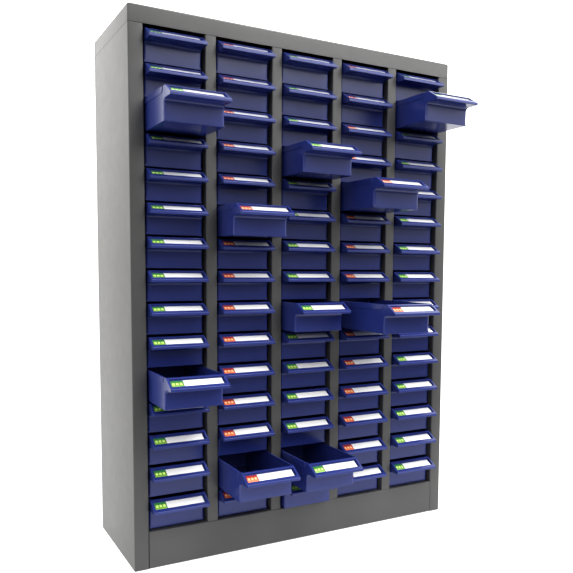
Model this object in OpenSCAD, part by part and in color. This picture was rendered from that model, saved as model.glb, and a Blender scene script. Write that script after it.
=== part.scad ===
// Small-parts organizer: a free-standing sheet-steel cabinet with five columns of fifteen
// plastic drawers. Each drawer runs on a pair of steel angle strips and slides out to the front.
//
// Frame of reference: X to the right, Y to the back, Z up, in millimetres. The origin is the
// centre of the cabinet's footprint on the floor, so the front plane is at Y = -cabinet_d / 2.

/* [Cabinet] */
// Overall width of the cabinet
cabinet_w = 586; // [560:2:620]
// Overall depth of the cabinet, without the drawer lips
cabinet_d = 218; // [206:2:260]
// Height of the plain band below the drawers
base_h = 58; // [40:1:90]
// Height of the top cover's skirt
cover_h = 26; // [18:1:40]
// Width of the fold at each front corner
stile_w = 22.4; // [18:0.2:26]
// Width of the posts between the columns
post_w = 17.8; // [15:0.2:22]
// Thickness of the sheet steel
sheet_t = 1.2; // [0.8:0.1:1.5]
// Clear height between the top row and the cover
head_gap = 3; // [2:0.5:8]

/* [Runners] */
// Width of the ledge that carries a drawer
ledge_w = 8; // [6:0.5:10]
// Height of the leg that is welded to the post
leg_h = 8; // [5:0.5:12]
// Thickness of the angle strips
ledge_t = 1; // [0.6:0.1:1]
// Play between a drawer and its ledges
ledge_play = 0.3; // [0.2:0.1:0.5]

/* [Drawer] */
// Height from one row to the next
row_pitch = 50.2; // [50:0.2:56]
// Gap between a drawer and the posts beside it
side_gap = 3; // [2:0.5:4]
// Length of the drawer's body behind the cabinet's front plane
drawer_l = 187; // [150:1:200]
// Height of the drawer's top edge above its slot
drawer_top = 48.7; // [47.5:0.1:49]
// Height of the drawer's underside above its slot
drawer_bottom = 1.6; // [1.5:0.1:3]
// Thickness of the drawer's walls and floor
wall_t = 2; // [1.5:0.1:2.5]
// How far the drawer can slide out
travel = 150; // [145:1:160]

/* [Drawer front] */
// How far the lip stands out in front of the cabinet
lip_reach = 20.2; // [16:0.1:26]
// Height of the lip's underside above the slot
lip_z = 31.5; // [28:0.5:34]
// Height of the lip's front edge
lip_h = 4.2; // [3:0.1:6]
// Radius of the hollow between the lip and the face
lip_r = 6; // [4:0.5:11]
// Depth of the pocket for the label card
pocket_depth = 2; // [0.5:0.1:2.5]
// Width of the label card's pocket
pocket_w = 81; // [60:1:82]
// Plain rim above and below the label card
pocket_rim = 5.2; // [4:0.1:9]

/* [Drawer sides] */
// Height of the stiffening band along the top of each side
band_h = 9; // [6:0.5:12]
// How far the band stands out from the side below it
band_step = 0.8; // [0.5:0.1:1]
// How far behind the cabinet's front plane the band begins
band_front = 14; // [10:0.5:20]

/* [Hidden] */
columns = 5;
rows = 15;
// Slots, counted row by row from the top left, whose drawers are all nodes of their own.
own_count = 42;
// Drawers that stand open: column, row from the top, distance pulled out.
OPEN = [
  [1, 3, 94], [5, 2, 92], [3, 4, 78], [4, 5, 107], [2, 6, 69],
  [3, 9, 52], [4, 9, 142], [1, 11, 85], [2, 14, 91], [3, 14, 95], [3, 15, 17],
];

// Heights of the cabinet's parts.
panel_h = base_h + rows * row_pitch + head_gap;
cabinet_h = panel_h + cover_h;
// Where the front and the back are, and the plane that the back panel closes.
front_y = -cabinet_d / 2;
back_inner_y = cabinet_d / 2 - 2 * sheet_t;
// Clear width between two posts, and the distance from one column to the next.
bay_w = (cabinet_w - 2 * stile_w - (columns - 1) * post_w) / columns;
column_pitch = bay_w + post_w;
drawer_w = bay_w - 2 * side_gap;
// Folds that nobody measures: rear flange, cover's inner lip, plinth's returns, pan's edges.
rear_flange = 16;
cover_lip = 12;
plinth_return = 20;
pan_edge = 14;
// The ledges start behind the drawers' faces and stop short of the back panel.
ledge_front = 18;
ledge_rear_gap = 2;
// The drawer's front, as distances behind the cabinet's front plane: the rear edge of the
// label plane, the face where the hollow ends, and the face at the underside.
label_rear = 3;
face_top = 8;
face_foot = 9;
face_wall = 2.8;
// Width and depth of the rim that closes the drawer behind the label plane.
rim_w = 2;
rim_h = 3;
arc_steps = 6;
// Cuts run this far past the surface they open.
cut = 1;

all_slots = [for (r = [1:rows]) for (c = [1:columns]) [c, r]];
function pull(slot) =
  min(travel, max([0, for (o = OPEN) if (o[0] == slot[0] && o[1] == slot[1]) o[2]]));
function own_node(slot) = (slot[1] - 1) * columns + slot[0] <= own_count || pull(slot) > 0;
function two_digits(n) = n < 10 ? str("0", n) : str(n);
function drawer_name(slot) = str("drawer_r", two_digits(slot[1]), "_c", slot[0]);

own_slots = [for (s = all_slots) if (own_node(s)) s];
bank_slots = [for (s = all_slots) if (!own_node(s)) s];

// Centre of a column, and the floor of a row's slot.
function column_x(c) = -cabinet_w / 2 + stile_w + bay_w / 2 + (c - 1) * column_pitch;
function slot_z(r) = base_h + (rows - r) * row_pitch;

module steel() { color("#5b5c5f") children(); }
module dark_strip() { color("#3c3d40") children(); }
module blue_plastic() { color("#2f3a86") children(); }

// Extrudes an outline drawn in the Y-Z plane along X, to both sides of the middle.
module extrude_x(width) {
  rotate([90, 0, 90]) linear_extrude(height = width, center = true) children();
}

// A side panel is one sheet: outer wall, front fold, inner web and rear flange.
module side_panel_outline() {
  translate([-cabinet_w / 2, front_y]) {
    square([sheet_t, cabinet_d]);
    square([stile_w, sheet_t]);
    translate([stile_w - sheet_t, 0]) square([sheet_t, cabinet_d - 2 * sheet_t]);
    translate([0, cabinet_d - sheet_t]) square([rear_flange, sheet_t]);
  }
}

module left_side_panel() {
  steel() linear_extrude(height = panel_h) side_panel_outline();
}

module right_side_panel() {
  steel() linear_extrude(height = panel_h) mirror([1, 0]) side_panel_outline();
}

module back_panel() {
  steel() translate([-cabinet_w / 2 + sheet_t, back_inner_y, 0])
    cube([cabinet_w - 2 * sheet_t, sheet_t, panel_h]);
}

// The cover is a shallow cap, open below, with a lip turned in along its front.
module top_cover() {
  steel() translate([-cabinet_w / 2, front_y, panel_h]) {
    difference() {
      cube([cabinet_w, cabinet_d, cover_h]);
      translate([sheet_t, sheet_t, -cut])
        cube([cabinet_w - 2 * sheet_t, cabinet_d - 2 * sheet_t, cover_h - sheet_t + cut]);
    }
    translate([sheet_t, sheet_t, 0])
      cube([cabinet_w - 2 * sheet_t, cover_lip, sheet_t]);
  }
}

// The plinth is a channel: front band with a return at the top and at the bottom.
module base_plinth() {
  plinth_w = cabinet_w - 2 * stile_w;
  steel() translate([-plinth_w / 2, front_y, 0]) {
    cube([plinth_w, sheet_t, base_h]);
    translate([0, 0, base_h - sheet_t]) cube([plinth_w, plinth_return, sheet_t]);
    translate([0, 0, sheet_t]) cube([plinth_w, plinth_return, sheet_t]);
  }
}

// The pan closes the underside between the side panels' inner webs.
module bottom_pan() {
  pan_w = cabinet_w - 2 * stile_w;
  pan_d = back_inner_y - front_y - sheet_t;
  steel() translate([-pan_w / 2, front_y + sheet_t, 0]) {
    cube([pan_w, pan_d, sheet_t]);
    translate([0, pan_d - sheet_t, 0]) cube([pan_w, sheet_t, pan_edge]);
  }
}

// A post is a channel that is open to the back, from the plinth up to the cover.
module column_post(i) {
  steel() translate([column_x(i) + bay_w / 2, front_y, base_h])
    linear_extrude(height = panel_h - base_h) {
      square([post_w, sheet_t]);
      for (x = [0, post_w - sheet_t])
        translate([x, 0]) square([sheet_t, cabinet_d - 2 * sheet_t]);
    }
}

// Outline of a right-hand angle strip, seen from the front: its leg lies on X = 0.
module ledge_outline() {
  translate([-ledge_t, 0]) square([ledge_t, leg_h]);
  translate([-ledge_w, 0]) square([ledge_w, ledge_t]);
}

module runner_ledges() {
  ledge_l = cabinet_d - 2 * sheet_t - ledge_front - ledge_rear_gap;
  ledge_z = drawer_bottom - ledge_play - ledge_t;
  dark_strip() for (slot = all_slots) for (side = [0, 1])
    translate([column_x(slot[0]), front_y + ledge_front + ledge_l, slot_z(slot[1]) + ledge_z])
      mirror([side, 0, 0]) translate([bay_w / 2, 0, 0])
        rotate([90, 0, 0]) linear_extrude(height = ledge_l) ledge_outline();
}

// Side view of the drawer's body: Y is the distance behind the cabinet's front plane, and Z
// the height above the slot. A concave quarter circle joins the face to the lip's underside.
function lip_hollow() = [for (k = [0:arc_steps]) let (a = 90 * k / arc_steps)
  [face_top - lip_r + lip_r * cos(a), lip_z - lip_r + lip_r * sin(a)]];

module drawer_outline() {
  polygon(concat(
    [[label_rear, drawer_top], [drawer_l, drawer_top], [drawer_l, drawer_bottom],
     [face_foot, drawer_bottom]],
    lip_hollow(),
    [[-lip_reach, lip_z], [-lip_reach, lip_z + lip_h]]
  ));
}

// Side view of the stiffening band, whose lower front corner is cut off.
module band_outline() {
  bevel = band_h / 2;
  polygon([
    [band_front, drawer_top], [drawer_l, drawer_top], [drawer_l, drawer_top - band_h],
    [band_front + bevel, drawer_top - band_h], [band_front, drawer_top - band_h + bevel],
  ]);
}

// Side view of the hollow inside the drawer. Its front wall leans like the face, and then
// forward below the label plane, up to the rim.
module cavity_outline() {
  polygon([
    [face_foot + face_wall, drawer_bottom + wall_t], [face_top + face_wall, lip_z - lip_r],
    [face_top + face_wall, lip_z], [label_rear + rim_w, drawer_top - rim_h],
    [label_rear + rim_w, drawer_top + cut], [drawer_l - wall_t, drawer_top + cut],
    [drawer_l - wall_t, drawer_bottom + wall_t],
  ]);
}

// Side view of the label pocket, sunk into the plane that falls from the top edge to the lip.
module pocket_outline() {
  run = label_rear + lip_reach;
  drop = drawer_top - lip_z - lip_h;
  slope_l = norm([run, drop]);
  translate([label_rear, drawer_top]) rotate(180 + atan2(drop, run))
    translate([pocket_rim, -cut]) square([slope_l - 2 * pocket_rim, cut + pocket_depth]);
}

module drawer_shell() {
  blue_plastic() difference() {
    union() {
      extrude_x(drawer_w) drawer_outline();
      extrude_x(drawer_w + 2 * band_step) band_outline();
    }
    extrude_x(drawer_w - 2 * wall_t) cavity_outline();
    extrude_x(min(pocket_w, drawer_w - 4)) pocket_outline();
  }
}

module drawer(slot) {
  translate([column_x(slot[0]), front_y - pull(slot), slot_z(slot[1])]) drawer_shell();
}

module lower_drawer_bank() {
  for (slot = bank_slots) drawer(slot);
}

left_side_panel();
right_side_panel();
back_panel();
top_cover();
base_plinth();
bottom_pan();
runner_ledges();
for (i = [1:columns - 1])
  column_post(i);
for (slot = own_slots)
  drawer(slot);
lower_drawer_bank();
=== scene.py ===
"""Parts organizer: a dark grey sheet-steel cabinet with five columns of fifteen blue plastic drawers.

Lengths are in metres, in the frame of the CAD model: X to the right, Y to the back, Z up, with the origin at the
centre of the cabinet's footprint. Outlines are drawn in millimetres and scaled by MM.
"""

import math
from contextlib import contextmanager

import bmesh
import bpy
from mathutils import Matrix, Vector


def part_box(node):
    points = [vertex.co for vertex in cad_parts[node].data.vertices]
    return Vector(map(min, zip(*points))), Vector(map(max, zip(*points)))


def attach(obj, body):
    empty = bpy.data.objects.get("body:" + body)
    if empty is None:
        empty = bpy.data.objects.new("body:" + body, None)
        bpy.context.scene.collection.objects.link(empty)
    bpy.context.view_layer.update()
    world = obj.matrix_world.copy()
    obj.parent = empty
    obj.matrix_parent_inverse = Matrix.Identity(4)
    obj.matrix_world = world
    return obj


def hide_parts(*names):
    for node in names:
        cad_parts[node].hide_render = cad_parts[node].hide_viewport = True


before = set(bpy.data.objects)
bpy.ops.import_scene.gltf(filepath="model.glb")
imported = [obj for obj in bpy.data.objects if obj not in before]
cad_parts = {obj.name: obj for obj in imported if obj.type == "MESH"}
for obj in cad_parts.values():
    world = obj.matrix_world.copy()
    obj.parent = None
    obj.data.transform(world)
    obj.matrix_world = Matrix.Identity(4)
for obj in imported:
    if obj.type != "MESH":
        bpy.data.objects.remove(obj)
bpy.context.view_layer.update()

MM = 0.001
COLUMNS, ROWS = 5, 15

# ---------------------------------------------------------------- sizes read from the CAD frame

panel_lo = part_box("left_side_panel")[0]
cover_lo, cover_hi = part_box("top_cover")
plinth_lo, plinth_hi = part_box("base_plinth")
back_lo, back_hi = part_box("back_panel")
drawer_lo, drawer_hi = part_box("drawer_r01_c1")

SHEET = back_hi.y - back_lo.y
FRONT_Y = panel_lo.y
CLOSED_Y = drawer_lo.y
LIP_REACH = FRONT_Y - CLOSED_Y
ROW_PITCH = drawer_lo.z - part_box("drawer_r02_c1")[0].z
DRAWER_H = (drawer_hi.z - drawer_lo.z) / MM
DRAWER_L = (drawer_hi.y - FRONT_Y) / MM
BAND_W = (drawer_hi.x - drawer_lo.x) / MM


# ---------------------------------------------------------------- mesh helpers


def new_object(name, verts, faces, material, smooth_below=40):
    """A mesh object whose edges are smooth where its faces meet at less than smooth_below degrees."""
    mesh = bpy.data.meshes.new(name)
    mesh.from_pydata(verts, [], faces)
    mesh.validate()
    mesh.update()
    obj = bpy.data.objects.new(name, mesh)
    bpy.context.scene.collection.objects.link(obj)
    mesh.materials.append(material)
    soften(mesh, smooth_below)
    return obj


@contextmanager
def editing(mesh):
    """Opens mesh as a bmesh, and writes it back afterwards."""
    shell = bmesh.new()
    shell.from_mesh(mesh)
    yield shell
    shell.to_mesh(mesh)
    shell.free()


def soften(mesh, smooth_below):
    mesh.shade_smooth()
    mesh.set_sharp_from_angle(angle=math.radians(smooth_below))


def rounded_corner(before, corner, after, radius, steps):
    """The arc that rounds one corner of a 2D outline."""
    to_before = (before - corner).normalized()
    to_after = (after - corner).normalized()
    half = to_before.angle(to_after) / 2
    centre = corner + (to_before + to_after).normalized() * radius / math.sin(half)
    start = corner + to_before * radius / math.tan(half) - centre
    turn = start.angle_signed(corner + to_after * radius / math.tan(half) - centre)
    points = []
    for k in range(steps + 1):
        a = -turn * k / steps
        points.append(centre + Vector((
            start.x * math.cos(a) - start.y * math.sin(a),
            start.x * math.sin(a) + start.y * math.cos(a),
        )))
    return points


def rounded_outline(corners, steps=4):
    """A closed outline from corners (u, v, radius, end_radius). Gives points (u, v, end_radius)."""
    outline = []
    count = len(corners)
    for i, (u, v, radius, end_radius) in enumerate(corners):
        corner = Vector((u, v))
        if radius == 0:
            outline.append((u, v, end_radius))
            continue
        before = Vector(corners[i - 1][:2])
        after = Vector(corners[(i + 1) % count][:2])
        outline += [(p.x, p.y, end_radius) for p in rounded_corner(before, corner, after, radius, steps)]
    return outline


def outline_area(outline):
    return sum(
        a[0] * b[1] - b[0] * a[1] for a, b in zip(outline, outline[1:] + outline[:1], strict=True)
    ) / 2


def side_faces(count, rings):
    """The quads between successive rings of count points each."""
    faces = []
    for s in range(rings - 1):
        for i in range(count):
            j = (i + 1) % count
            faces.append((s * count + i, s * count + j, (s + 1) * count + j, (s + 1) * count + i))
    return faces


def capped_faces(count, rings):
    """side_faces between one face over the first ring and one over the last."""
    last = (rings - 1) * count
    return [tuple(reversed(range(count))), *side_faces(count, rings), tuple(range(last, last + count))]


def prism(name, outline, width, material, centre_x=0.0, end_steps=4):
    """A solid of one profile along X, in millimetres. outline holds (y, z, end_radius): the ends are rounded by it.

    At a rounded corner the end radius stays below the corner's own, or the end would fold over itself there.
    """
    if outline_area(outline) < 0:
        outline = outline[::-1]
    count = len(outline)
    normals = []
    for i in range(count):
        along = Vector(outline[(i + 1) % count][:2]) - Vector(outline[i - 1][:2])
        normals.append(Vector((along.y, -along.x)).normalized())
    stations = [(-1, k) for k in range(end_steps, -1, -1)] + [(1, k) for k in range(end_steps + 1)]
    verts = []
    for side, k in stations:
        a = math.pi / 2 * k / end_steps
        for (y, z, r), n in zip(outline, normals, strict=True):
            x = centre_x + side * (width / 2 - r + r * math.sin(a))
            inset = r * (1 - math.cos(a))
            verts.append((x * MM, (y - n.x * inset) * MM, (z - n.y * inset) * MM))
    obj = new_object(name, verts, capped_faces(count, len(stations)), material)
    # A profile with a hollow in it keeps its shape through the booleans only if its ends are triangles.
    with editing(obj.data) as shell:
        split_large_faces(shell)
    return obj


def split_large_faces(shell):
    """Every face of more than four corners into triangles."""
    bmesh.ops.triangulate(shell, faces=[face for face in shell.faces if len(face.verts) > 4])


def rounded_rectangle(x0, y0, x1, y1, radius):
    corners = [(x0, y0, radius, 0), (x1, y0, radius, 0), (x1, y1, radius, 0), (x0, y1, radius, 0)]
    return [(u, v) for u, v, _ in rounded_outline(corners)]


def loft(name, rings, material, smooth_below=40):
    """A closed solid through rings of equal length, each a list of (x, y, z) in metres."""
    count = len(rings[0])
    verts = [v for ring in rings for v in ring]
    return new_object(name, verts, capped_faces(count, len(rings)), material, smooth_below)


def boolean(target, cutter, operation):
    """target becomes target DIFFERENCE or UNION cutter, and cutter is removed."""
    modifier = target.modifiers.new("boolean", "BOOLEAN")
    modifier.operation = operation
    modifier.solver = "MANIFOLD"
    modifier.object = cutter
    apply_modifiers(target)
    bpy.data.objects.remove(cutter)


def apply_modifiers(obj):
    bpy.context.view_layer.update()
    graph = bpy.context.evaluated_depsgraph_get()
    mesh = bpy.data.meshes.new_from_object(obj.evaluated_get(graph), depsgraph=graph)
    obj.modifiers.clear()
    old = obj.data
    obj.data = mesh
    bpy.data.meshes.remove(old)


def bevel_edges(obj, width):
    """Rounds the edges that are sharper than 50 degrees."""
    modifier = obj.modifiers.new("bevel", "BEVEL")
    modifier.width = width
    modifier.segments = 2
    modifier.limit_method = "ANGLE"
    modifier.angle_limit = math.radians(50)
    modifier.harden_normals = False
    apply_modifiers(obj)


def drop_slivers(mesh):
    """Takes out the needle-thin faces that the booleans leave, since a bevel would widen them."""
    needle = 0.01 * MM
    with editing(mesh) as shell:
        bmesh.ops.dissolve_degenerate(shell, dist=needle, edges=shell.edges)
        split_large_faces(shell)
        bmesh.ops.dissolve_degenerate(shell, dist=needle, edges=shell.edges)


def flat_sides(mesh):
    """Sharp edges round every face that looks straight along X, so that the rounding stops there."""
    straight = 0.9999
    with editing(mesh) as shell:
        for edge in shell.edges:
            if len({abs(face.normal.x) > straight for face in edge.link_faces}) == 2:
                edge.smooth = False


def weigh_normals(obj):
    """Large faces set the shading normals, so that they look flat between their rounded edges."""
    modifier = obj.modifiers.new("normals", "WEIGHTED_NORMAL")
    modifier.keep_sharp = True
    apply_modifiers(obj)


# ---------------------------------------------------------------- materials


def material_nodes(name):
    material = bpy.data.materials.new(name)
    material.use_nodes = True
    tree = material.node_tree
    return material, tree, tree.nodes["Principled BSDF"]


def noise(tree, scale, detail):
    """Noise in the piece's own coordinates."""
    node = tree.nodes.new("ShaderNodeTexNoise")
    node.inputs["Scale"].default_value = scale
    node.inputs["Detail"].default_value = detail
    tree.links.new(tree.nodes.new("ShaderNodeTexCoord").outputs["Object"], node.inputs["Vector"])
    return node.outputs["Fac"]


def ramp(tree, value, stops):
    """A colour ramp through (position, colour) stops."""
    node = tree.nodes.new("ShaderNodeValToRGB")
    elements = node.color_ramp.elements
    while len(elements) < len(stops):
        elements.new(0.5)
    for element, (position, colour) in zip(elements, stops, strict=True):
        element.position = position
        element.color = (*colour, 1)
    tree.links.new(value, node.inputs["Fac"])
    return node.outputs["Color"]


def span(tree, value, low, high):
    """value, taken as 0 to 1, mapped to low to high."""
    node = tree.nodes.new("ShaderNodeMapRange")
    node.inputs["To Min"].default_value = low
    node.inputs["To Max"].default_value = high
    tree.links.new(value, node.inputs["Value"])
    return node.outputs["Result"]


def bump(tree, height, strength, distance, below=None):
    node = tree.nodes.new("ShaderNodeBump")
    node.inputs["Strength"].default_value = strength
    node.inputs["Distance"].default_value = distance
    tree.links.new(height, node.inputs["Height"])
    if below is not None:
        tree.links.new(below, node.inputs["Normal"])
    return node.outputs["Normal"]


def powder_coat():
    """Dark grey powder coat: fine orange peel over sheet that isn't quite flat."""
    material, tree, shader = material_nodes("powder_coat")
    blotch = noise(tree, scale=9, detail=3)
    tree.links.new(ramp(tree, blotch, [(0.3, (0.052, 0.052, 0.053)), (0.7, (0.062, 0.062, 0.063))]),
                   shader.inputs["Base Color"])
    tree.links.new(span(tree, noise(tree, scale=60, detail=3), low=0.34, high=0.42), shader.inputs["Roughness"])
    waves = bump(tree, noise(tree, scale=5, detail=1), strength=0.25, distance=0.002)
    peel = bump(tree, noise(tree, scale=900, detail=2), strength=0.12, distance=0.0004, below=waves)
    tree.links.new(peel, shader.inputs["Normal"])
    return material


def strip_paint_and_shade():
    """Thin dark paint on the angle strips, worn a little by the drawers, made darker than the frame's coat as painted
    shade.
    """
    material, tree, shader = material_nodes("strip_paint_and_shade")
    blotch = noise(tree, scale=40, detail=3)
    # Painted shade: the strip colour is near black, darker than the frame's paint, so the strips stay dim in the shaded
    # bays.
    tree.links.new(ramp(tree, blotch, [(0.3, (0.020, 0.020, 0.021)), (0.7, (0.035, 0.035, 0.036))]),
                   shader.inputs["Base Color"])
    tree.links.new(span(tree, noise(tree, scale=120, detail=3), low=0.45, high=0.6), shader.inputs["Roughness"])
    return material


def blue_plastic():
    """Moulded navy plastic with a soft gloss."""
    material, tree, shader = material_nodes("blue_plastic")
    blotch = noise(tree, scale=14, detail=3)
    tree.links.new(ramp(tree, blotch, [(0.25, (0.018, 0.029, 0.142)), (0.75, (0.024, 0.036, 0.166))]),
                   shader.inputs["Base Color"])
    tree.links.new(span(tree, noise(tree, scale=80, detail=4), low=0.2, high=0.28), shader.inputs["Roughness"])
    shader.inputs["Specular IOR Level"].default_value = 0.5
    slow = bump(tree, noise(tree, scale=22, detail=1), strength=0.2, distance=0.001)
    fine = bump(tree, noise(tree, scale=1500, detail=2), strength=0.08, distance=0.0002, below=slow)
    tree.links.new(fine, shader.inputs["Normal"])
    return material


def label_print(name, dark, light, mark):
    """White card whose left end is a printed tab: a gradient, a dark edge and three plain squares.

    u runs along the card and v up it, each from 0 to 1.
    """
    material, tree, shader = material_nodes(name)
    uv = tree.nodes.new("ShaderNodeUVMap")
    uv.uv_map = "UVMap"
    split = tree.nodes.new("ShaderNodeSeparateXYZ")
    tree.links.new(uv.outputs["UV"], split.inputs[0])
    u, v = split.outputs["X"], split.outputs["Y"]

    def maths(operation, a, b=None, c=None):
        node = tree.nodes.new("ShaderNodeMath")
        node.operation = operation
        for socket, value in zip(node.inputs, (a, b, c), strict=False):
            if value is None:
                continue
            if isinstance(value, (int, float)):
                socket.default_value = value
            else:
                tree.links.new(value, socket)
        return node.outputs[0]

    def mix(fac, a, b):
        node = tree.nodes.new("ShaderNodeMix")
        node.data_type = "RGBA"
        tree.links.new(fac, node.inputs["Factor"])
        for socket, value in ((node.inputs["A"], a), (node.inputs["B"], b)):
            if isinstance(value, tuple):
                socket.default_value = (*value, 1)
            else:
                tree.links.new(value, socket)
        return node.outputs["Result"]

    def between(value, low, high):
        return maths("MULTIPLY", maths("GREATER_THAN", value, low), maths("LESS_THAN", value, high))

    def squares(half_u, low, high):
        """Three squares in a row along the card, from v = low to v = high."""
        first, pitch = 0.052, 0.07
        marks = None
        for k in range(3):
            centre = first + k * pitch
            square = maths("MULTIPLY", between(u, centre - half_u, centre + half_u), between(v, low, high))
            marks = square if marks is None else maths("ADD", marks, square)
        return marks

    tab_end, edge_width, edge_shade = 0.245, 0.012, 0.7
    tab = ramp(tree, v, [(0.0, light), (0.35, light), (0.9, dark)])
    tab = mix(squares(half_u=0.030, low=0.27, high=0.73), tab, dark)
    tab = mix(squares(half_u=0.023, low=0.33, high=0.67), tab, mark)
    tab = mix(between(u, tab_end - edge_width, tab_end), tab, tuple(c * edge_shade for c in dark))
    fibres = ramp(tree, noise(tree, scale=500, detail=3), [(0.3, (0.66, 0.66, 0.66)), (0.7, (0.72, 0.72, 0.72))])
    tree.links.new(mix(maths("LESS_THAN", u, tab_end), fibres, tab), shader.inputs["Base Color"])
    tree.links.new(span(tree, noise(tree, scale=300, detail=2), low=0.35, high=0.5), shader.inputs["Roughness"])
    shader.inputs["Coat Weight"].default_value = 1.0
    shader.inputs["Coat Roughness"].default_value = 0.08
    return material


def floor_white():
    """White floor that glows round and behind the cabinet.

    In front it is dark, so that it lights the plinth little. The foreground sheet hides that part from the camera.
    """
    material, tree, shader = material_nodes("floor")
    place = tree.nodes.new("ShaderNodeTexCoord").outputs["Object"]
    split = tree.nodes.new("ShaderNodeSeparateXYZ")
    tree.links.new(place, split.inputs[0])
    depth = tree.nodes.new("ShaderNodeMapRange")
    dark_until, white_from = -0.85, -0.45
    depth.inputs["From Min"].default_value = dark_until
    depth.inputs["From Max"].default_value = white_from
    tree.links.new(split.outputs["Y"], depth.inputs["Value"])
    tree.links.new(ramp(tree, depth.outputs["Result"], [(0, (0.05, 0.05, 0.05)), (1, (0.25, 0.25, 0.25))]),
                   shader.inputs["Base Color"])
    shader.inputs["Emission Color"].default_value = (1, 1, 1, 1)
    tree.links.new(span(tree, depth.outputs["Result"], low=0, high=0.8), shader.inputs["Emission Strength"])
    shader.inputs["Roughness"].default_value = 0.8
    return material


def white_paper():
    """The glowing white of the foreground and the backdrop, which only the camera sees."""
    material, _, shader = material_nodes("white_paper")
    shader.inputs["Base Color"].default_value = (0.8, 0.8, 0.8, 1)
    shader.inputs["Emission Color"].default_value = (1, 1, 1, 1)
    shader.inputs["Emission Strength"].default_value = 2.0
    return material


PAINT = powder_coat()
STRIP_SHADE = strip_paint_and_shade()
BLUE = blue_plastic()
GREEN_LABEL = label_print(
    "label_green", dark=(0.02, 0.17, 0.04), light=(0.18, 0.35, 0.03), mark=(0.55, 0.75, 0.18),
)
RED_LABEL = label_print("label_red", dark=(0.3, 0.015, 0.012), light=(0.70, 0.15, 0.03), mark=(0.9, 0.5, 0.25))
FLOOR = floor_white()
WHITE_PAPER = white_paper()


# ---------------------------------------------------------------- sheet-metal frame

SHEET_SMOOTH = 30
STILE_FOLD_R = 2.2 * MM
POST_FOLD_R = 1.6 * MM
COVER_FOLD_R = 2.6 * MM
# The gap between two sheets that meet.
SEAM = 0.25 * MM


def folded_sheet(name, path, radius, ends, place):
    """Sheet of thickness SHEET folded along an open path of outer corners, pushed from ends[0] to ends[1].

    path is in metres, with the sheet on its left-hand side. place turns (u, v, w) into a point, where w runs
    along the fold.
    """
    fold_steps = 5
    outer, inner = [], []
    points = [Vector(p) for p in path]
    for i, corner in enumerate(points):
        if i in (0, len(points) - 1):
            along = (points[i + 1] - corner) if i == 0 else (corner - points[i - 1])
            normal = Vector((-along.y, along.x)).normalized()
            outer.append(corner)
            inner.append(corner + normal * SHEET)
            continue
        arc = rounded_corner(points[i - 1], corner, points[i + 1], radius, fold_steps)
        before = (corner - points[i - 1]).normalized()
        after = (points[i + 1] - corner).normalized()
        turns_left = before.x * after.y - before.y * after.x > 0
        bend = (after - before).normalized()
        centre = corner + bend * radius / math.sin(points_angle(points, i) / 2)
        for p in arc:
            towards = (centre - p).normalized() if turns_left else (p - centre).normalized()
            outer.append(p)
            inner.append(p + towards * SHEET)
    section = outer + inner[::-1]
    edge = 0.15 * MM
    at_end = 1 - edge / (SHEET / 2)
    count = len(section)
    centres = [(o + i) / 2 for o, i in zip(outer, inner, strict=True)]
    centres += centres[::-1]
    rings = []
    for w, shrink in ((ends[0], at_end), (ends[0] + edge, 1), (ends[1] - edge, 1), (ends[1], at_end)):
        rings.append([place(*(c + (s - c) * shrink), w) for s, c in zip(section, centres, strict=True)])
    verts = [v for ring in rings for v in ring]
    faces = side_faces(count, len(rings))
    half = count // 2
    last = (len(rings) - 1) * count
    for i in range(half - 1):
        a, b, c, d = i, i + 1, count - 2 - i, count - 1 - i
        faces.append((a, d, c, b))
        faces.append((last + a, last + b, last + c, last + d))
    obj = new_object(name, verts, faces, PAINT, SHEET_SMOOTH)
    fix_normals(obj)
    return obj


def points_angle(points, i):
    return (points[i - 1] - points[i]).angle(points[i + 1] - points[i])


def fix_normals(obj):
    with editing(obj.data) as shell:
        bmesh.ops.recalc_face_normals(shell, faces=shell.faces)


def finish_piece(obj, body, slot, *nodes):
    """Ties obj to its body, in place of the CAD nodes named. The slot argument is not used."""
    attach(obj, body)
    if nodes:
        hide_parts(*nodes)
    return obj


def upright(u, v, w):
    """For a fold that runs up Z."""
    return (u, v, w)


def side_panels():
    flange = 16 * MM
    for side, name in ((-1, "left_side_panel"), (1, "right_side_panel")):
        lo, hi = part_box(name)
        outer = lo.x if side < 0 else hi.x
        inner = hi.x if side < 0 else lo.x
        path = [
            (outer - side * flange, hi.y), (outer, hi.y), (outer, lo.y), (inner, lo.y), (inner, back_lo.y),
        ]
        if side > 0:
            path = path[::-1]
        panel = folded_sheet(f"{name}_shell", path, STILE_FOLD_R, (lo.z, hi.z - SEAM), upright)
        finish_piece(panel, "cabinet", "painted_steel", name)


def column_posts():
    for i in range(1, COLUMNS):
        lo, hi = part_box(f"column_post_{i}")
        path = [(lo.x, back_lo.y), (lo.x, lo.y), (hi.x, lo.y), (hi.x, back_lo.y)]
        post = folded_sheet(f"column_post_{i}_shell", path, POST_FOLD_R, (lo.z + SEAM, hi.z - SEAM), upright)
        finish_piece(post, "cabinet", "painted_steel", f"column_post_{i}")


def along_x(u, v, w):
    """For a fold that runs along X."""
    return (w, u, v)


def plinth():
    lo, hi = plinth_lo, plinth_hi
    path = [(hi.y, hi.z), (lo.y, hi.z), (lo.y, lo.z), (hi.y, lo.z)]
    band = folded_sheet("base_plinth_shell", path, POST_FOLD_R, (lo.x + SEAM, hi.x - SEAM), along_x)
    finish_piece(band, "cabinet", "painted_steel", "base_plinth")


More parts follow.
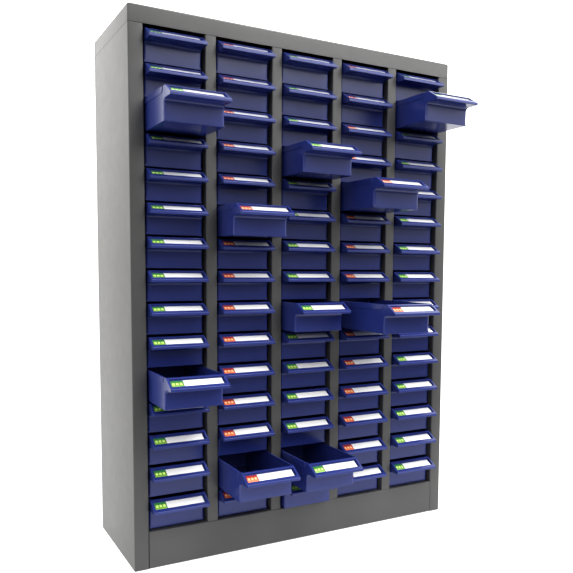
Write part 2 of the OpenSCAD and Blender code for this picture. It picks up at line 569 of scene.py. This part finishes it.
def top_cover():
    """A cap in one piece: the rings run down the inside, round the hem and up the outside."""
    lo, hi = cover_lo, cover_hi
    corner = COVER_FOLD_R
    inside = corner - SHEET
    inner_corner = 0.4 * MM
    hem_inside, hem_outside = 0.2 * MM, 0.3 * MM
    steps = 5

    def ring(inset, z, radius):
        return [(x, y, z) for x, y in rounded_rectangle(lo.x + inset, lo.y + inset, hi.x - inset, hi.y - inset, radius)]

    rings = [ring(SHEET + corner, hi.z - SHEET, inner_corner)]
    for k in range(steps + 1):
        a = math.pi / 2 * k / steps
        rings.append(ring(SHEET + inside * (1 - math.sin(a)), hi.z - corner + inside * math.cos(a), inside))
    rings.append(ring(SHEET, lo.z + hem_inside, inside))
    for share in (0.7, 0.3):
        rings.append(ring(SHEET * share, lo.z, corner - SHEET * share))
    rings.append(ring(0, lo.z + hem_outside, corner))
    for k in range(steps + 1):
        a = math.pi / 2 * k / steps
        rings.append(ring(corner * (1 - math.cos(a)), hi.z - corner + corner * math.sin(a), corner))
    cover = loft("top_cover_shell", rings, PAINT, SHEET_SMOOTH)
    fix_normals(cover)
    finish_piece(cover, "cabinet", "painted_steel", "top_cover")


def paint_cad(node, material):
    """Shows a CAD node as it is, in the given material."""
    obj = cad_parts[node]
    obj.data.materials.clear()
    obj.data.materials.append(material)


side_panels()
column_posts()
plinth()
top_cover()
for cad_node in ("back_panel", "bottom_pan"):
    paint_cad(cad_node, PAINT)
# The runner ledges get the strip paint, which is darkened as painted shade.
paint_cad("runner_ledges", STRIP_SHADE)


# ---------------------------------------------------------------- drawers
#
# Everything here is in millimetres, in the drawer's own frame: X across it from its middle, Y back from the cabinet's
# front, Z up from the drawer's underside.

# The width below the raised bands, the walls, and the rim between the label plane and the inside.
DRAWER_W = 88.0
WALL = 2.0
RIM_W, RIM_H = 2.0, 3.0
# The front face leans: its top lies nearer to the front than its foot.
FACE_TOP = 8.0
FACE_FOOT = 9.0
FACE_WALL = 2.8
# The lip: its underside, the height of its front edge, and the hollow between it and the face.
LIP_Z = 29.9
LIP_H = 4.2
LIP_R = 6.0
LIP_FRONT = -LIP_REACH / MM
# The raised band along the top of each side: its height, and where it starts.
BAND_H = 9.0
BAND_FRONT = 14.0

# The label plane runs from SLOPE_START down to the lip's front. DOWN points along it and OUT away from it.
LABEL_REAR = 3.0
SLOPE_START = Vector((LABEL_REAR, DRAWER_H))
DOWN = Vector((LIP_FRONT - LABEL_REAR, LIP_Z + LIP_H - DRAWER_H)).normalized()
OUT = Vector((DOWN.y, -DOWN.x))
POCKET_W, POCKET_H, POCKET_DEPTH = 81.0, 17.0, 2.0
CARD_W, CARD_H, CARD_T = 77.4, 14.5, 0.35
# The pocket and its card lie a little nearer to the lip's front than to the rear edge.
POCKET_REAR = 3.6
POCKET_MID = POCKET_REAR + POCKET_H / 2
CARD_FRONT = POCKET_REAR + POCKET_H - 0.4


def on_slope(along, out):
    """A point of the label plane's own frame, in millimetres, as (y, z)."""
    p = SLOPE_START + DOWN * along + OUT * out
    return p.x, p.y


def drawer_outline():
    """Side view of the drawer. The last number of each corner is the rounding at the drawer's two ends.

    The label plane, the lip and the foot end sharply, the face ends softly, and the heel is in between.
    """
    sharp, soft, edge = 0.5, 3.4, 1.5
    rim, nose, foot, heel = 0.7, 0.8, 0.6, 2.6
    before_hollow = 1.5
    corners = [
        (LABEL_REAR, DRAWER_H, rim, sharp),
        (LIP_FRONT, LIP_Z + LIP_H, nose, sharp),
        (LIP_FRONT, LIP_Z, rim, sharp),
        (FACE_TOP - LIP_R - before_hollow, LIP_Z, 0, sharp),
    ]
    hollow_steps = 9
    for k in range(hollow_steps + 1):
        a = math.pi / 2 * (1 - k / hollow_steps)
        share = k / hollow_steps
        blend = share * share * (3 - 2 * share)
        corners.append((
            FACE_TOP - LIP_R + LIP_R * math.cos(a), LIP_Z - LIP_R + LIP_R * math.sin(a), 0,
            sharp + (soft - sharp) * blend,
        ))
    face_lean = (FACE_FOOT - FACE_TOP) / (LIP_Z - LIP_R)
    for height in (12.0, 4.5):
        corners.append((FACE_TOP + face_lean * (LIP_Z - LIP_R - height), height, 0, soft))
    corners += [
        (FACE_FOOT, 0, foot, sharp),
        (DRAWER_L, 0, heel, edge),
        (DRAWER_L, DRAWER_H, rim, sharp),
    ]
    return rounded_outline(corners)


def cavity():
    """The hollow inside the drawer, with rounded corners and a fillet along its floor."""
    fillet, corner, tightest, over = 2.0, 2.6, 0.6, 1.0
    half = DRAWER_W / 2 - WALL
    rings = []

    def ring(z, inset):
        lean = max(0.0, (LIP_Z - LIP_R - z) / (LIP_Z - LIP_R))
        front = FACE_TOP + FACE_WALL + (FACE_FOOT - FACE_TOP) * lean
        rise = min(1.0, max(0.0, (z - LIP_Z) / (DRAWER_H - RIM_H - LIP_Z)))
        front += (LABEL_REAR + RIM_W - front) * rise
        points = rounded_rectangle(-half + inset, front + inset, half - inset, DRAWER_L - WALL - inset,
                                   max(corner - inset, tightest))
        return [(x * MM, y * MM, z * MM) for x, y in points]

    steps = 4
    for k in range(steps + 1):
        a = math.pi / 2 * k / steps
        rings.append(ring(WALL + fillet * (1 - math.cos(a)), fillet * (1 - math.sin(a))))
    for z in (LIP_Z - LIP_R, LIP_Z, DRAWER_H - RIM_H, DRAWER_H + over):
        rings.append(ring(z, 0))
    return loft("cavity", rings, BLUE)


def slope_block(name, along, height, depth, width, centre_x, radius):
    """A block sunk into the label plane, for cutting."""
    over = 1.0
    a0, a1 = along - height / 2, along + height / 2
    corners = [(*on_slope(a0, over), 0, radius), (*on_slope(a1, over), 0, radius),
               (*on_slope(a1, -depth), radius, radius / 2), (*on_slope(a0, -depth), radius, radius / 2)]
    return prism(name, rounded_outline(corners), width, BLUE, centre_x)


def side_band(side):
    """The raised band along the top of one side, sunk into the wall. Its lower front corner is well rounded."""
    small, large, end = 0.6, 5.0, 0.5
    thickness = 1.6
    top, bottom = DRAWER_H - 0.12, DRAWER_H - BAND_H
    rear = DRAWER_L - 0.6
    corners = [
        (BAND_FRONT, top, small, end), (rear, top, small, end),
        (rear, bottom, small, end), (BAND_FRONT, bottom, large, end),
    ]
    step = (BAND_W - DRAWER_W) / 2
    centre_x = side * (DRAWER_W / 2 + step - thickness / 2)
    return prism("band", rounded_outline(corners), thickness, BLUE, centre_x, end_steps=2)


def drawer_mesh():
    """One drawer: the mesh that all seventy-five share."""
    body = prism("drawer_shell", drawer_outline(), DRAWER_W, BLUE, end_steps=5)
    for side in (-1, 1):
        boolean(body, side_band(side), "UNION")
    boolean(body, cavity(), "DIFFERENCE")
    pocket = slope_block("pocket", POCKET_MID, POCKET_H, POCKET_DEPTH, POCKET_W, centre_x=0, radius=0.4)
    boolean(body, pocket, "DIFFERENCE")
    slit_w, slit_deeper, slit_shorter = 2.6, 1.6, 0.8
    slit_x = POCKET_W / 2 - 1.8
    slit = slope_block(
        "slit", POCKET_MID, POCKET_H - slit_shorter, POCKET_DEPTH + slit_deeper, slit_w, slit_x, radius=0.3,
    )
    boolean(body, slit, "DIFFERENCE")
    drop_slivers(body.data)
    bevel_edges(body, 0.3 * MM)
    soften(body.data, 35)
    flat_sides(body.data)
    weigh_normals(body)
    mesh = body.data
    mesh.name = "drawer_shell"
    bpy.data.objects.remove(body)
    return mesh


def card_mesh(name, material):
    """The label card, lying on the pocket's floor against its left end."""
    lift, gap = 0.05, 0.3
    corner, end = 0.1, 0.08
    x0 = -POCKET_W / 2 + gap
    low, high = CARD_FRONT - CARD_H, CARD_FRONT
    under = lift - POCKET_DEPTH
    corners = [(*on_slope(low, CARD_T + under), corner, end), (*on_slope(high, CARD_T + under), corner, end),
               (*on_slope(high, under), corner, end), (*on_slope(low, under), corner, end)]
    card = prism(name, rounded_outline(corners, 2), CARD_W, material, x0 + CARD_W / 2, 2)
    mesh = card.data
    uv = mesh.uv_layers.new(name="UVMap")
    for loop in mesh.loops:
        co = mesh.vertices[loop.vertex_index].co / MM
        along = (Vector((co.y, co.z)) - SLOPE_START).dot(DOWN)
        uv.data[loop.index].uv = ((co.x - x0) / CARD_W, 1 - (along - low) / CARD_H)
    bpy.data.objects.remove(card)
    return mesh


def place(name, mesh, where, body, slot, *nodes):
    """An object of its own that shows a shared mesh."""
    obj = bpy.data.objects.new(name, mesh)
    bpy.context.scene.collection.objects.link(obj)
    obj.location = where
    return finish_piece(obj, body, slot, *nodes)


def drawers():
    """A drawer and its card in every slot. The first drawer of the bank replaces the bank's one CAD node."""
    shell = drawer_mesh()
    green, red = card_mesh("label_green", GREEN_LABEL), card_mesh("label_red", RED_LABEL)
    bank = "lower_drawer_bank"
    bank_shown = False
    for row in range(1, ROWS + 1):
        for column in range(1, COLUMNS + 1):
            key = f"r{row:02d}_c{column}"
            node = f"drawer_{key}"
            top_lo, top_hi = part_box(f"drawer_r01_c{column}")
            x = (top_lo.x + top_hi.x) / 2
            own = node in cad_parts
            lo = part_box(node)[0] if own else Vector((0, CLOSED_Y, drawer_lo.z - (row - 1) * ROW_PITCH))
            where = Vector((x, lo.y + LIP_REACH, lo.z))
            body = node if own else bank
            if own:
                nodes = (node,)
            else:
                nodes = () if bank_shown else (bank,)
                bank_shown = True
            place(f"drawer_shell_{key}", shell, where, body, "drawer_plastic", *nodes)
            label = green if column % 2 else red
            place(f"label_card_{key}", label, where, body, "label_card")


drawers()


# ---------------------------------------------------------------- camera, light and floor


def camera():
    """The eye is left of the cabinet's front, a little above its mid height, 1.1 m in front of it."""
    eye = Vector((panel_lo.x - 0.2736, FRONT_Y - 1.0576, 0.4652))
    yaw, pitch, roll = 0.5340, -0.0830, 0.0100
    forward = Vector((math.sin(yaw) * math.cos(pitch), math.cos(yaw) * math.cos(pitch), math.sin(pitch)))
    right = forward.cross(Vector((0, 0, 1))).normalized()
    up = right.cross(forward)
    right, up = (right * math.cos(roll) + up * math.sin(roll), up * math.cos(roll) - right * math.sin(roll))
    sensor = 36.0
    # In pixels: the image's side, its middle, the focal length and the point that the lens looks straight at.
    image, middle, focal, centre_x, centre_y = 573, 286.5, 712.6, 336.4, 326.7
    data = bpy.data.cameras.new("camera")
    data.sensor_fit = "HORIZONTAL"
    data.sensor_width = sensor
    data.lens = sensor * focal / image
    data.shift_x = (middle - centre_x) / image
    data.shift_y = (centre_y - middle) / image
    data.clip_end = 50
    obj = bpy.data.objects.new("camera", data)
    obj.matrix_world = Matrix((
        (right.x, up.x, -forward.x, eye.x), (right.y, up.y, -forward.y, eye.y),
        (right.z, up.z, -forward.z, eye.z), (0, 0, 0, 1),
    ))
    bpy.context.scene.collection.objects.link(obj)
    bpy.context.scene.camera = obj


def area_light(name, where, target, size, power):
    data = bpy.data.lights.new(name, "AREA")
    data.shape = "RECTANGLE"
    data.size, data.size_y = size
    data.energy = power
    obj = bpy.data.objects.new(name, data)
    obj.location = where
    obj.rotation_euler = (Vector(target) - Vector(where)).to_track_quat("-Z", "Y").to_euler()
    bpy.context.scene.collection.objects.link(obj)


def surroundings(world):
    """A white room, brighter overhead, that is dark only low in front, where the photographer stands."""
    world.use_nodes = True
    tree = world.node_tree
    background = tree.nodes["Background"]
    direction = tree.nodes.new("ShaderNodeTexCoord").outputs["Generated"]
    split = tree.nodes.new("ShaderNodeSeparateXYZ")
    tree.links.new(direction, split.inputs[0])

    def fade(value, low, high, at_low, at_high):
        """Runs smoothly from at_low to at_high as value goes from low to high."""
        node = tree.nodes.new("ShaderNodeMapRange")
        node.interpolation_type = "SMOOTHSTEP"
        for name, number in (("From Min", low), ("From Max", high), ("To Min", at_low), ("To Max", at_high)):
            node.inputs[name].default_value = number
        tree.links.new(value, node.inputs["Value"])
        return node.outputs["Result"]

    photographer, dark = Vector((-0.35, -0.94, 0)).normalized(), 0.06
    towards = tree.nodes.new("ShaderNodeVectorMath")
    towards.operation = "DOT_PRODUCT"
    towards.inputs[1].default_value = photographer
    tree.links.new(direction, towards.inputs[0])
    height = split.outputs["Z"]
    in_front = fade(towards.outputs["Value"], low=0.35, high=0.9, at_low=0, at_high=1)
    near_floor = fade(height, low=-0.02, high=0.42, at_low=1, at_high=0)
    dome = fade(height, low=-0.05, high=0.3, at_low=1.4, at_high=2.1)
    shade = tree.nodes.new("ShaderNodeMath")
    shade.operation = "MULTIPLY"
    tree.links.new(in_front, shade.inputs[0])
    tree.links.new(near_floor, shade.inputs[1])
    strength = tree.nodes.new("ShaderNodeMix")
    tree.links.new(dome, strength.inputs["A"])
    strength.inputs["B"].default_value = dark
    tree.links.new(shade.outputs[0], strength.inputs["Factor"])
    tree.links.new(strength.outputs["Result"], background.inputs["Strength"])
    background.inputs["Color"].default_value = (1, 0.99, 0.965, 1)


def only_seen(sheet):
    """The sheet closes the room in views from behind, but lights nothing and shows in no reflection."""
    sheet.visible_diffuse = False
    sheet.visible_glossy = False
    sheet.visible_transmission = False
    sheet.visible_shadow = False


def flat_sheet(name, material, side, where, rotation=(0, 0, 0), scale=(1, 1, 1)):
    bpy.ops.mesh.primitive_plane_add(size=side, location=where, rotation=rotation)
    sheet = bpy.context.active_object
    sheet.name = name
    sheet.scale = scale
    sheet.data.materials.append(material)
    return sheet


def studio():
    scene = bpy.context.scene
    scene.view_settings.view_transform = "Standard"
    scene.view_settings.look = "Medium High Contrast"
    scene.world = bpy.data.worlds.new("studio")
    surroundings(scene.world)
    area_light("overhead", where=(0.5, -0.9, 2.0), target=(0.35, -0.1, 0.5), size=(0.9, 0.6), power=21)
    area_light("fill", where=(1.1, -1.6, 1.4), target=(0.1, -0.1, 0.8), size=(2.0, 0.5), power=8)
    ground = flat_sheet("floor", FLOOR, side=14, where=(0, 0, 0))
    # The foreground lies half a millimetre above the floor, and the backdrop stands at the floor's front edge.
    foreground = flat_sheet("foreground", WHITE_PAPER, side=1, where=(0, -3.75, 0.0005), scale=(14, 6.5, 1))
    backdrop = flat_sheet("backdrop", WHITE_PAPER, side=30, where=(0, -7, 0), rotation=(math.pi / 2, 0, 0))
    for sheet in (foreground, backdrop):
        only_seen(sheet)


camera()
studio()
